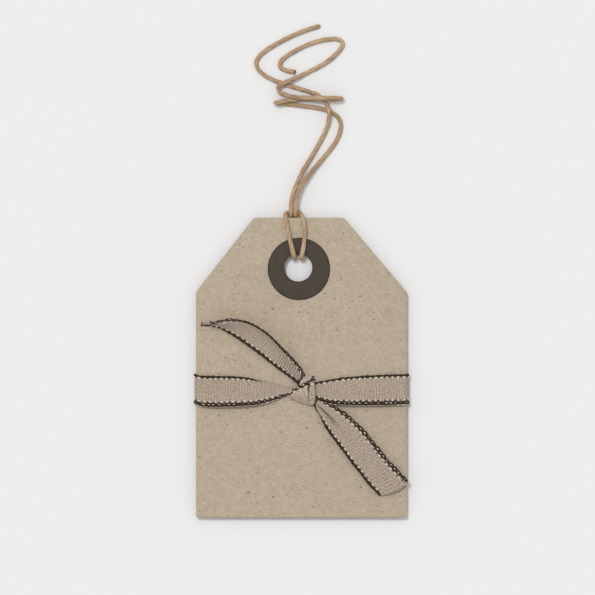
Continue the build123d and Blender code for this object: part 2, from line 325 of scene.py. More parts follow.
# points of each stretch in mm, through the middle of the cord: the hitch goes from neck a to neck b, and the
# necks and tails go outwards from the hitch
hitch_route = [
    (-2.52, 39.78, 2.75),
    (-2.55, 38.80, 2.70),
    (-2.55, 37.65, 1.90),
    (-2.55, 37.50, 0.60),
    (-2.40, 34.60, 0.50),
    (-2.25, 30.60, 0.50),
    (-1.70, 27.05, 0.55),
    (-1.70, 27.05, 2.85),
    (-2.55, 30.40, 2.85),
    (-3.35, 34.60, 2.80),
    (-3.95, 37.15, 2.80),
    (-3.95, 38.00, 1.60),
    (-2.95, 38.45, 0.65),
    (-1.05, 38.45, 0.65),
    (0.00, 37.95, 1.60),
    (0.30, 37.05, 2.80),
    (0.95, 34.30, 2.80),
    (0.70, 30.60, 2.85),
    (0.00, 27.05, 2.85),
    (0.00, 27.05, 0.55),
    (-0.35, 30.50, 0.50),
    (-1.20, 34.50, 0.50),
    (-1.45, 37.50, 0.60),
    (-1.45, 37.65, 1.90),
    (-1.45, 38.80, 2.70),
    (-1.42, 39.78, 2.75),
]
neck_a_route = [(-2.46, 41.18, 2.75), (-2.05, 43.00, 2.55), (-1.40, 44.60, 2.25)]
neck_b_route = [(-1.36, 41.18, 2.75), (-0.92, 43.00, 2.55), (-0.15, 44.60, 2.25)]
tail_a_route = [
    (-0.95, 45.80, 2.00),
    (0.20, 48.40, 1.45),
    (2.00, 51.25, 0.80),
    (3.85, 54.30, 0.50),
    (5.50, 57.30, 0.60),
    (6.60, 60.00, 1.10),
    (6.90, 62.10, 1.72),
    (6.75, 63.90, 1.72),
    (6.05, 65.50, 0.62),
    (4.60, 67.05, 0.50),
    (2.60, 68.00, 0.50),
    (-0.60, 68.90, 0.50),
    (-4.00, 69.90, 0.50),
    (-7.00, 71.00, 0.50),
    (-9.40, 72.30, 0.50),
    (-11.00, 74.00, 0.50),
    (-11.25, 75.60, 0.50),
    (-10.10, 77.30, 0.50),
    (-7.50, 79.20, 0.50),
    (-4.30, 80.95, 0.50),
    (-1.20, 82.40, 0.50),
    (1.55, 83.50, 0.50),
    (4.65, 84.40, 0.50),
]
tail_b_route = [
    (0.60, 45.80, 2.00),
    (2.40, 48.30, 1.45),
    (5.00, 51.25, 0.80),
    (7.50, 54.20, 0.50),
    (9.10, 56.70, 0.50),
    (9.80, 59.00, 0.50),
    (9.70, 61.00, 0.50),
    (8.40, 62.55, 0.50),
    (6.50, 63.50, 0.50),
    (4.00, 64.15, 0.50),
    (0.90, 64.55, 0.50),
    (-2.00, 64.90, 0.50),
    (-4.40, 65.10, 0.50),
    (-5.95, 65.25, 0.50),
    (-6.50, 65.36, 1.50),
    (-5.95, 65.50, 2.45),
    (-4.50, 65.80, 2.35),
    (-2.40, 66.12, 0.95),
    (0.10, 66.22, 0.50),
    (2.30, 66.22, 0.95),
    (4.20, 66.25, 1.78),
    (6.40, 66.25, 1.78),
    (8.20, 66.25, 0.90),
    (9.50, 66.28, 0.75),
    (10.10, 66.38, 1.65),
    (9.50, 66.50, 2.65),
    (8.10, 66.60, 3.05),
    (6.40, 66.62, 2.90),
    (4.00, 66.62, 2.90),
    (1.60, 66.62, 2.10),
    (-0.80, 66.65, 1.75),
    (-2.90, 67.05, 1.80),
    (-4.50, 67.58, 1.45),
    (-5.60, 68.15, 1.30),
    (-5.78, 69.30, 1.40),
    (-4.85, 70.05, 1.72),
    (-3.10, 70.75, 1.72),
    (-0.90, 71.70, 1.00),
    (1.80, 73.00, 0.50),
    (4.70, 74.45, 0.50),
    (7.40, 76.20, 0.50),
    (9.40, 78.20, 0.50),
    (10.45, 79.80, 0.50),
    (9.60, 81.10, 0.50),
    (7.40, 81.20, 0.50),
    (4.60, 80.75, 0.50),
    (1.60, 79.80, 0.50),
    (-1.20, 78.40, 0.50),
    (-3.60, 77.00, 0.50),
    (-5.20, 75.60, 0.50),
    (-5.35, 74.15, 0.50),
    (-4.05, 73.40, 0.50),
    (-2.75, 73.18, 0.55),
    (-1.60, 73.03, 1.15),
]


def smooth_line(points):
    """Points along the smooth line that a route gives."""
    curve = bpy.data.curves.new("route", "CURVE")
    curve.dimensions = "3D"
    curve.resolution_u = route_steps
    spline = curve.splines.new("NURBS")
    spline.points.add(len(points) - 1)
    for control, point in zip(spline.points, points):
        control.co = (*point, 1)
    spline.order_u = 3
    spline.use_endpoint_u = True
    carrier = bpy.data.objects.new("route", curve)
    drawn = bpy.data.meshes.new_from_object(carrier)
    line = np.array([vertex.co for vertex in drawn.vertices])
    bpy.data.objects.remove(carrier)
    bpy.data.curves.remove(curve)
    bpy.data.meshes.remove(drawn)
    return line


def unit(vectors):
    """Vectors of length 1."""
    return vectors / np.maximum(np.linalg.norm(vectors, axis=-1, keepdims=True), 1e-12)


def run_lengths(line):
    """Length along a line up to each of its points."""
    steps = np.linalg.norm(np.diff(line, axis=0), axis=1)
    return np.concatenate([[0], np.cumsum(steps)])


def waves_along(runs, waves):
    """Sum of waves along a run, each with its height, its millimetres for one radian and its start."""
    return sum(height * np.sin(runs / (length * MM) + start) for height, length, start in waves)


def untwisted_sides(line):
    """Two directions square to a line at each of its points, carried along it without twist."""
    tangents = unit(np.gradient(line, axis=0))
    side = np.cross(tangents[0], (0, 0, 1))
    sides = []
    for tangent in tangents:
        side = unit(side - tangent * np.dot(side, tangent))
        sides.append(side)
    return np.array(sides), np.cross(tangents, sides)


def tube_faces(rings, sides):
    """Faces of a tube of that many rings, with closed ends."""
    faces = []
    for near in range(0, (rings - 1) * sides, sides):
        far = near + sides
        for side in range(sides):
            following = (side + 1) % sides
            faces.append((near + side, near + following, far + following, far + side))
    faces.append(tuple(range(sides))[::-1])
    faces.append(tuple(range((rings - 1) * sides, rings * sides)))
    return faces


def tube_shell(line, sides, ups, radii, turns, around, runs, slot):
    """Shell of a tube round a line, with its places round it and along it in millimetres."""
    rings = (line[:, None]
             + sides[:, None] * (radii * np.cos(turns))[..., None]
             + ups[:, None] * (radii * np.sin(turns))[..., None])
    laid = np.stack(np.broadcast_arrays(around[None], runs[:, None] / MM), axis=-1)
    return rings.reshape(-1, 3), tube_faces(*rings.shape[:2]), laid.reshape(-1, 2), slot


def build_mesh(name, shells, materials):
    """One mesh object out of closed shells: their points, faces, places on the cloth or cord and material."""
    points, laid = (np.concatenate([shell[part] for shell in shells]) for part in (0, 2))
    faces, slots, start = [], [], 0
    for shell_points, shell_faces, _, slot in shells:
        faces += [tuple(corner + start for corner in face) for face in shell_faces]
        slots += [slot] * len(shell_faces)
        start += len(shell_points)
    mesh = bpy.data.meshes.new(name)
    mesh.from_pydata(points.tolist(), [], faces)
    corners = np.zeros(len(mesh.loops), int)
    mesh.loops.foreach_get("vertex_index", corners)
    mesh.uv_layers.new(name="laid").data.foreach_set("uv", laid[corners].ravel())
    mesh.polygons.foreach_set("material_index", slots)
    for material in materials:
        mesh.materials.append(material)
    piece = bpy.data.objects.new(name, mesh)
    bpy.context.scene.collection.objects.link(piece)
    finish_mesh(piece, soft_angle)
    return piece


# Waxed hemp: tan, faintly glossy fibres that drift lighter and darker along the cord, with painted shade in
# the grooves between the three strands; its own map runs once round the cord and along it in millimetres
fibres_round, fibre_length = 22, 0.9
drifts_round, drift_length = 0.7, 5.0
waxed_hemp, tree, shader = new_material("waxed_hemp")
cord_map = add_node(tree, "ShaderNodeUVMap", uv_map="laid")
round_cord = add_node(tree, "ShaderNodeSeparateXYZ", {"Vector": cord_map}).outputs["X"]
drift_place = add_node(tree, "ShaderNodeMapping", {
    "Vector": cord_map, "Scale": (drifts_round, 1 / drift_length, 1),
})
drift = add_node(tree, "ShaderNodeTexNoise", {"Vector": drift_place, "Scale": 1, "Detail": 3})
drift_share = add_node(tree, "ShaderNodeMapRange", {"Value": drift, **noise_span})
colour = add_node(tree, "ShaderNodeMix", {
    FACTOR: drift_share, FIRST_COLOUR: linear("#9e8262"), SECOND_COLOUR: linear("#c9ab8b"),
}, data_type="RGBA").outputs[MIXED_COLOUR]
fibre_place = add_node(tree, "ShaderNodeMapping", {
    "Vector": cord_map, "Scale": (fibres_round, 1 / fibre_length, 1),
})
fibres = add_node(tree, "ShaderNodeTexNoise", {"Vector": fibre_place, "Scale": 1, "Detail": 4})
fibre_shade = add_node(tree, "ShaderNodeMapRange", {
    "Value": fibres, **noise_span, "To Min": 0.8, "To Max": 1.15,
})
colour = add_node(tree, "ShaderNodeMix", {
    FACTOR: 1.0, FIRST_COLOUR: colour, SECOND_COLOUR: fibre_shade,
}, data_type="RGBA", blend_type="MULTIPLY").outputs[MIXED_COLOUR]
strand_turn = add_node(tree, "ShaderNodeMath", {0: round_cord, 1: strands * math.pi}, operation="MULTIPLY")
strand_wave = add_node(tree, "ShaderNodeMath", {0: strand_turn}, operation="COSINE")
crest = add_node(tree, "ShaderNodeMath", {0: strand_wave}, operation="ABSOLUTE")
# painted shade: the colour turns deep brown where the three strands meet in their grooves
painted_groove_shade = add_node(tree, "ShaderNodeMapRange", {
    "Value": crest, "From Max": 0.45, "To Min": 0.55, "To Max": 0.0,
})
colour = add_node(tree, "ShaderNodeMix", {
    FACTOR: painted_groove_shade, FIRST_COLOUR: colour, SECOND_COLOUR: linear("#7a5a3a"),
}, data_type="RGBA").outputs[MIXED_COLOUR]
bump = add_node(tree, "ShaderNodeBump", {"Height": fibres, "Strength": 0.5, "Distance": 0.05 * MM})
set_inputs(tree, shader, {
    "Base Color": colour, "Normal": bump, "Roughness": 0.6, "Specular IOR Level": 0.35,
})

# The cut face of the cord: dark brown, mottled finely at the size of its fibre ends
cut_hemp, tree, shader = new_material("cut_hemp_end")
place = add_node(tree, "ShaderNodeTexCoord").outputs["Object"]
fibre_ends = add_node(tree, "ShaderNodeTexNoise", {"Vector": place, "Scale": per_size(0.15), "Detail": 2})
colour = add_node(tree, "ShaderNodeMix", {
    FACTOR: fibre_ends, FIRST_COLOUR: linear("#4a3524"), SECOND_COLOUR: linear("#8f6d4a"),
}, data_type="RGBA").outputs[MIXED_COLOUR]
set_inputs(tree, shader, {"Base Color": colour, "Roughness": 0.85})

string_route = tail_a_route[::-1] + neck_a_route[::-1] + hitch_route + neck_b_route + tail_b_route
string_line = smooth_line(np.array(string_route) * MM)
string_runs = run_lengths(string_line)
string_sides, string_ups = untwisted_sides(string_line)
string_end = len(string_line) - 1
angles = np.linspace(0, 2 * math.pi, cord_sides, endpoint=False)
lobes = 1 - groove_share * (1 - np.abs(np.cos(strands / 2 * angles)))
swelling = 1 + waves_along(string_runs, swell_waves)
swelling *= np.sqrt(np.clip((string_runs + rounded_start) / rounded_length, 0, 1))
swelling += eyelet_swelling * np.exp(-(((string_line[:, 1] - hole_centre.y) / eyelet_reach) ** 4))


def cord_stretch(first, last):
    """Shell of the cord between two points of its line: three strands laid round each other."""
    picked = slice(first, last + 1)
    turns = angles + 2 * math.pi * string_runs[picked, None] / cord_lay
    radii = cord_radius * swelling[picked, None] * lobes
    return tube_shell(string_line[picked], string_sides[picked], string_ups[picked], radii, turns,
                      angles / (2 * math.pi), string_runs[picked], HEMP)


def nearest_on_string(point):
    """Number of the string's point that lies nearest to a point of its route."""
    return int(np.argmin(np.linalg.norm(string_line - np.array(point) * MM, axis=1)))


# where along Y the string bends when it swings and when it folds
neck_a_middle = nearest_on_string(neck_a_route[1])
neck_b_middle = nearest_on_string(neck_b_route[1])
hitch = build_mesh("hitch_cord", [cord_stretch(neck_a_middle, neck_b_middle)], [waxed_hemp])
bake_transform(hitch)
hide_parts("string_hitch", "string_neck_a", "string_neck_b")
for cord_name, cord_node, first, last in (
    ("tail_cord_a", "string_tail_a", 0, neck_a_middle),
    ("tail_cord_b", "string_tail_b", neck_b_middle, string_end),
):
    cord = build_mesh(cord_name, [cord_stretch(first, last)], [waxed_hemp, cut_hemp])
    tip, root = (0, -1) if first == 0 else (-1, 0)
    path = string_line[first:last + 1]
    for face in cord.data.polygons:
        if len(face.vertices) == cord_sides and (Vector(path[tip]) - face.center).length < cord_radius:
            face.material_index = CUT
    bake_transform(cord)
    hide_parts(cord_node)

# Ribbon loop: one narrow grosgrain ribbon, woven with cross ribs 0.7 mm apart, goes flat round the
# back of the card and over both sides, and narrows into the knot on the front. Both its edges are bound with
# two dark twisted threads, and the cream weft shows beside them as a row of dots.
ribbon_width = 7.2 * MM
rib_pitch = 0.7 * MM
rows_per_rib = 4
measuring_steps = 800
web_half = 0.11 * MM
web_columns = 28
web_edge_share = 0.075
web_edge_thinness = 0.6
rib_bulge = 0.05 * MM
slope_step = 0.02
thread_radius = 0.19 * MM
thread_lay = 2.8 * MM
thread_lift = 0.08 * MM
thread_rise = 0.10 * MM
thread_sides = 8
# how far in from the edge the threads lie and how far they swing, as a closed line and as a row of open loops
line_share, chain_share = 0.055, 0.030
line_swing, chain_swing = 0.14 * MM, 0.27 * MM
tuck_share = 0.10
tuck_depth = 0.42 * MM
# waves in how far the threads swing, as shares of it, and in how far on they are in their lay, in radians
swing_waves = ((0.3, 0.93, 0), (0.2, 0.37, 2))
slip_waves = ((0.7, 1.7, 0), (0.5, 0.83, 1))
# half lengths of the dots along the edge, across it and up
cream_dot = Vector((0.31, 0.27, 0.17)) * MM
loop_dot = Vector((0.25, 0.14, 0.14)) * MM
dark_dot = Vector((0.22, 0.20, 0.14)) * MM
fringe_dash = Vector((0.50, 0.13, 0.15)) * MM
dot_share = 0.116
dot_pitch = thread_lay / 2
dot_lift = 0.05 * MM
dark_dot_shift = 0.05 * MM
dot_slip = 0.09 * MM
dot_growth = (0.75, 1.12)
# sides and rings of a dot, and how far its rings go towards its poles, in radians
dot_sides, dot_rings, dot_latitude = 8, 5, 1.2
# the share of showing below which a dot is left out, and the size of one that shows least
least_shown, least_size = 0.5, 0.6
# a loose yarn outside the binding, which shows cream in dashes
fringe_radius = 0.09 * MM
fringe_out = 0.56 * MM
fringe_drop = 0.08 * MM
fringe_shown = 0.5
fringe_waves = ((0.4, 2.9, 0), (0.3, 1.7, 0))
WEB, DARK, CREAM = 0, 1, 2
weaving = np.random.default_rng(5)


def smooth_weights(count, places):
    """Share of each of a smooth line's control points at places from 0 to 1 along it."""
    knots = np.concatenate([[0, 0], np.linspace(0, 1, count - 1), [1, 1]])
    places = np.clip(np.asarray(places, float), 0, 1 - 1e-9)[:, None]
    weights = ((knots[:-1] <= places) & (places < knots[1:])).astype(float)
    for degree in (1, 2):
        rise = knots[degree:-1] - knots[:-1 - degree]
        fall = knots[degree + 1:] - knots[1:-degree]
        up = (places - knots[:-1 - degree]) / np.where(rise == 0, 1, rise)
        down = (knots[degree + 1:] - places) / np.where(fall == 0, 1, fall)
        weights = up * weights[:, :-1] + down * weights[:, 1:]
    return weights


def ribbon_net(stations):
    """Control points of a ribbon. Each station gives its two edges and how far its inside lifts off their
    line, and maybe how far it shifts along that line, as shares of the width, and how far it runs ahead."""
    edges = np.array([station[:2] for station in stations]) * MM
    inner = len(stations[0][2])
    as_it_is = (0,) * inner
    lifts, shifts, pushes = (
        np.array([(0, *(station[part] if len(station) > part else as_it_is), 0) for station in stations])
        for part in (2, 3, 4)
    )
    shares = np.concatenate([[0], (np.arange(inner) + 0.5) / inner, [1]]) + shifts
    net = edges[:, :1] + (edges[:, 1:] - edges[:, :1]) * shares[..., None]
    forward = unit(np.gradient(edges.mean(axis=1), axis=0))
    outward = unit(np.cross(forward, edges[:, 1] - edges[:, 0]))
    return net + outward[:, None] * (lifts * MM)[..., None] + forward[:, None] * (pushes * MM)[..., None]


def even_rows(net):
    """Places along a ribbon at an even share of its rib pitch, and the lengths there."""
    fine = np.linspace(0, 1, measuring_steps)
    runs = run_lengths(smooth_weights(len(net), fine) @ (net[:, 0] + net[:, -1]) / 2)
    count = int(round(runs[-1] / rib_pitch * rows_per_rib))
    lengths = np.linspace(0, runs[-1], count + 1)
    return np.interp(lengths, runs, fine), lengths


def slab_faces(rows, columns):
    """Faces of a sheet with a front, a back and a rim."""
    back = rows * columns
    faces = []
    for row in range(rows - 1):
        for column in range(columns - 1):
            near, far = row * columns + column, (row + 1) * columns + column
            faces.append((near, far, far + 1, near + 1))
            faces.append((back + near, back + near + 1, back + far + 1, back + far))
    border = ([row * columns for row in range(rows)]
              + [(rows - 1) * columns + column for column in range(1, columns)]
              + [row * columns + columns - 1 for row in range(rows - 2, -1, -1)]
              + list(range(columns - 2, 0, -1)))
    for here, there in zip(border, border[1:] + border[:1]):
        faces.append((here, back + here, back + there, there))
    return faces


def thread_shell(line, radius, slot):
    """Shell of one thread along a line."""
    sides, ups = untwisted_sides(line)
    turns = np.linspace(0, 2 * math.pi, thread_sides, endpoint=False)
    radii = np.broadcast_to(radius, len(line))[:, None]
    return tube_shell(line, sides, ups, radii, turns, turns / (2 * math.pi), run_lengths(line), slot)


def dot_shells(line, ups, acrosses, lengths, shown, size, slot, places):
    """Shells of a row of small round stitches at places along a line, where they are shown."""
    tangents = unit(np.gradient(line, axis=0))
    belt, rise = np.meshgrid(np.linspace(0, 2 * math.pi, dot_sides, endpoint=False),
                             np.linspace(-dot_latitude, dot_latitude, dot_rings))
    ball = np.stack([np.cos(rise) * np.cos(belt), np.cos(rise) * np.sin(belt), np.sin(rise)], axis=-1)
    ball = ball.reshape(-1, 3)
    faces = tube_faces(dot_rings, dot_sides)
    shells = []
    for place in places:
        openness = float(np.interp(place, lengths, shown))
        if openness < least_shown:
            continue
        place += weaving.uniform(-dot_slip, dot_slip)
        centre, along, up, across = (
            np.array([np.interp(place, lengths, values[:, axis]) for axis in range(3)])
            for values in (line, tangents, ups, acrosses)
        )
        grown = size * (least_size + (1 - least_size) * openness) * weaving.uniform(*dot_growth)
        points = centre + ball * grown @ np.array([along, across, up])
        shells.append((points, faces, np.full((len(points), 2), place / MM), slot))
    return shells


def ribbon_shells(stations, edges):
    """Shells of a stretch of ribbon: its ribbed web, and the binding of each edge that has one. Along an
    edge, chain opens the threads into loops, turn stands the loops up, tuck rolls them under, bare leaves
    out the dots, thick swells the threads and fringe adds the loose yarn."""
    net = ribbon_net(stations)
    places, lengths = even_rows(net)
    along = smooth_weights(len(net), places)
    rows = np.einsum("rs,saj->raj", along, net)

    def across_line(shares):
        """Points of the ribbon at a share of its width in each row, and the directions up and across."""
        weights, ahead, behind = (
            smooth_weights(net.shape[1], np.clip(shares + step, 0, 1))
            for step in (0, slope_step, -slope_step)
        )
        line = np.einsum("ra,raj->rj", weights, rows)
        across = unit(np.einsum("ra,raj->rj", ahead - behind, rows))
        return line, unit(np.cross(np.gradient(line, axis=0), across)), across

    def along_edge(edge, name):
        """One value of an edge in each row, from its values at the stations."""
        return along @ np.broadcast_to(edge.get(name, 0), len(stations)).astype(float)

    bulge = web_half + rib_bulge * (0.5 + 0.5 * np.cos(2 * math.pi * lengths / rib_pitch))
    left_inset, right_inset = (
        np.zeros(len(rows)) if edge is None else web_edge_share * (1 - along_edge(edge, "tuck"))
        for edge in edges
    )
    front, back, laid = [], [], []
    for column in range(web_columns + 1):
        shares = left_inset + (1 - right_inset - left_inset) * column / web_columns
        line, up, across = across_line(shares)
        thickness = bulge * (web_edge_thinness if column in (0, web_columns) else 1)
        front.append(line + up * thickness[:, None])
        back.append(line - up * thickness[:, None])
        laid.append(np.stack([shares * ribbon_width / MM, lengths / MM], axis=-1))
    points = np.concatenate([np.stack(face, axis=1).reshape(-1, 3) for face in (front, back)])
    laid = np.stack(laid, axis=1).reshape(-1, 2)
    shells = [(points, slab_faces(len(rows), web_columns + 1), np.concatenate([laid, laid]), WEB)]

    unevenness = 1 + waves_along(lengths, swing_waves)
    phase = 2 * math.pi * lengths / thread_lay + waves_along(lengths, slip_waves)
    loops = np.interp(np.arange(math.pi, phase[-1], math.pi), phase, lengths)
    cream_places = np.arange(dot_pitch / 2, lengths[-1] - dot_pitch, dot_pitch)
    dark_places = cream_places + dot_pitch / 2
    for side, edge in enumerate(edges):
        if edge is None:
            continue
        inward = 1 - 2 * side
        chain, turn, tuck, bare, thick = (
            along_edge(edge, name) for name in ("chain", "turn", "tuck", "bare", "thick")
        )
        inset = line_share + (chain_share - line_share) * chain + tuck_share * tuck
        line, up, across = across_line(side + inward * inset)
        line = line + up * (thread_lift - tuck_depth * tuck)[:, None]
        swing = (line_swing + (chain_swing - line_swing) * chain * (1 - bare)) * unevenness
        lean = (turn * math.pi / 2)[:, None]
        swing_way = across * np.cos(lean) + up * np.sin(lean)
        rise_way = up * np.cos(lean) - across * np.sin(lean)
        for ply in (phase, phase + math.pi):
            swung = line + swing_way * (swing * np.cos(ply))[:, None]
            swung = swung + rise_way * (thread_rise * np.sin(ply))[:, None]
            shells.append(thread_shell(swung, thread_radius * (1 + thick), DARK))
        shells += dot_shells(line, rise_way, swing_way, lengths, chain * (1 - bare), loop_dot, CREAM, loops)
        if edge.get("fringe"):
            outer = line - across * inward * fringe_out - up * (thread_lift + fringe_drop)
            shells.append(thread_shell(outer, fringe_radius, WEB))
            # painted shade: a dark thread between the binding and the loose yarn, which stands in for the
            # shade there and also casts shadow
            shells.append(thread_shell((outer + line) / 2 - up * fringe_drop, thread_radius, DARK))
            shown = fringe_shown + waves_along(lengths, fringe_waves)
            shells += dot_shells(outer, up, across, lengths, shown, fringe_dash, CREAM, cream_places)
        line, up, across = across_line(side + inward * (dot_share + tuck_share * tuck))
        for face in (1, -1):
            raised = line + up * ((web_half + dot_lift) * face - tuck_depth * tuck)[:, None]
            shells += dot_shells(raised, up, across, lengths, 1 - bare, cream_dot, CREAM, cream_places)
            nearer = raised - across * inward * dark_dot_shift
            shells += dot_shells(nearer, up, across, lengths, 1 - bare, dark_dot, DARK, dark_places)
    return shells


# Grosgrain web: taupe cotton weft over fine warp, with painted shade that makes its ribs pale on top and
# darker between, and single yarns lighter and darker; its map runs across the ribbon and along it in
# millimetres. Where the knot pulls the ribbon tight, its ribs are pressed flatter and the cloth is painted a
# little paler, as a lit copy.
# Where the upper tail leaves the knot, painted shade darkens the gaps between the ribs in flecks over its
# first mm.
waver_size, waver_reach = 0.9, 0.25
root_shade_full_share, speck_size = 0.4, 0.5
ribbon_webs = []
for web_name, groove, rib, uneven, root_shade_run in (
    ("taupe_grosgrain", "#a09080", "#ad9d8e", 0.38, 0),
    # painted light: a paler lit copy of the same cloth for the knot, whose ribs are also pressed flatter
    ("knot_lit_grosgrain", "#ab9b8c", "#b8a899", 0.50, 0),
    # painted shade: the same cloth with brown flecks of shade in its rib gaps near the upper tail's root
    ("root_shaded_grosgrain", "#a19080", "#ae9e8f", 0.32, 11.5),
):
    web, tree, shader = new_material(web_name)
    web_map = add_node(tree, "ShaderNodeUVMap", uv_map="laid")
    along_web = add_node(tree, "ShaderNodeSeparateXYZ", {"Vector": web_map}).outputs["Y"]
    waver = add_node(tree, "ShaderNodeTexNoise", {"Vector": web_map, "Scale": 1 / waver_size, "Detail": 2})
    slipped = add_node(tree, "ShaderNodeMath", {
        0: waver, 1: waver_reach, 2: along_web,
    }, operation="MULTIPLY_ADD")
    rib_turn = add_node(tree, "ShaderNodeMath", {
        0: slipped, 1: 2 * math.pi * MM / rib_pitch,
    }, operation="MULTIPLY")
    rib_wave = add_node(tree, "ShaderNodeMath", {0: rib_turn}, operation="COSINE")
    # painted shade: the colour darkens from the rib tops into the grooves between them
    ridge = add_node(tree, "ShaderNodeMapRange", {"Value": rib_wave, "From Min": -1, "From Max": 0.6})
    colour = add_node(tree, "ShaderNodeMix", {
        FACTOR: ridge, FIRST_COLOUR: linear(groove), SECOND_COLOUR: linear(rib),
    }, data_type="RGBA").outputs[MIXED_COLOUR]
    # painted shade: brown flecks in the gaps between the ribs, full near the upper tail's root and fading out
    # along its run
    if root_shade_run:
        root_shade = add_node(tree, "ShaderNodeMapRange", {
            "Value": along_web, "From Min": root_shade_full_share * root_shade_run, "From Max": root_shade_run,
            "To Min": 1.0, "To Max": 0.0,
        })
        specks = add_node(tree, "ShaderNodeTexNoise", {
            "Vector": web_map, "Scale": 1 / speck_size, "Detail": 1,
        })
        gap = add_node(tree, "ShaderNodeMapRange", {"Value": rib_wave, "From Min": 0.0, "From Max": -0.8})
        speck = add_node(tree, "ShaderNodeMapRange", {"Value": specks, "From Min": 0.36, "From Max": 0.54})
        painted_gap_shade = add_node(tree, "ShaderNodeMath", {0: gap, 1: speck}, operation="MULTIPLY")
        gap_shade_share = add_node(tree, "ShaderNodeMath", {0: painted_gap_shade, 1: root_shade}, operation="MULTIPLY")
        colour = add_node(tree, "ShaderNodeMix", {
            FACTOR: gap_shade_share, FIRST_COLOUR: colour, SECOND_COLOUR: linear("#4c3a2c"),
        }, data_type="RGBA").outputs[MIXED_COLOUR]
    # spacing across and along in mm, and the darkest and palest shade: broad patches, then single yarns
    for across_mm, along_mm, darkest, palest in (
        (3.0, 4.0, 0.95, 1.05),
        (0.42, 0.36, 1 - uneven, 1 + uneven),
    ):
        spread = add_node(tree, "ShaderNodeMapping", {
            "Vector": web_map, "Scale": (1 / across_mm, 1 / along_mm, 1),
        })
        yarns = add_node(tree, "ShaderNodeTexNoise", {"Vector": spread, "Scale": 1, "Detail": 2})
        yarn_shade = add_node(tree, "ShaderNodeMapRange", {
            "Value": yarns, **noise_span, "To Min": darkest, "To Max": palest,
        })
        colour = add_node(tree, "ShaderNodeMix", {
            FACTOR: 1.0, FIRST_COLOUR: colour, SECOND_COLOUR: yarn_shade,
        }, data_type="RGBA", blend_type="MULTIPLY").outputs[MIXED_COLOUR]
    bump = add_node(tree, "ShaderNodeBump", {"Height": yarns, "Strength": 0.5, "Distance": 0.05 * MM})
    set_inputs(tree, shader, {
        "Base Color": colour, "Normal": bump, "Roughness": 0.85, "Specular IOR Level": 0.2,
        "Sheen Weight": 0.1,
    })
    ribbon_webs.append(web)
taupe_web, knot_lit_web, root_shaded_web = ribbon_webs

# Edge threads: nearly black brown cotton, twisted, and the cream weft turns that show as dots beside them
hairs_round, hair_length = 6, 0.25
edge_cottons = []
for cotton_name, dark, pale, roughness in (
    ("dark_brown_cotton", "#140c07", "#46382d", 0.8),
    ("cream_cotton", "#c8b8a6", "#efe6da", 0.85),
):
    cotton, tree, shader = new_material(cotton_name)
    thread_map = add_node(tree, "ShaderNodeUVMap", uv_map="laid")
    spun = add_node(tree, "ShaderNodeMapping", {
        "Vector": thread_map, "Scale": (hairs_round, 1 / hair_length, 1),
    })
    hairs = add_node(tree, "ShaderNodeTexNoise", {"Vector": spun, "Scale": 1, "Detail": 3})
    colour = add_node(tree, "ShaderNodeMix", {
        FACTOR: hairs, FIRST_COLOUR: linear(dark), SECOND_COLOUR: linear(pale),
    }, data_type="RGBA").outputs[MIXED_COLOUR]
    bump = add_node(tree, "ShaderNodeBump", {"Height": hairs, "Strength": 0.5, "Distance": 0.03 * MM})
    set_inputs(tree, shader, {
        "Base Color": colour, "Normal": bump, "Roughness": roughness, "Specular IOR Level": 0.2,
    })
    edge_cottons.append(cotton)

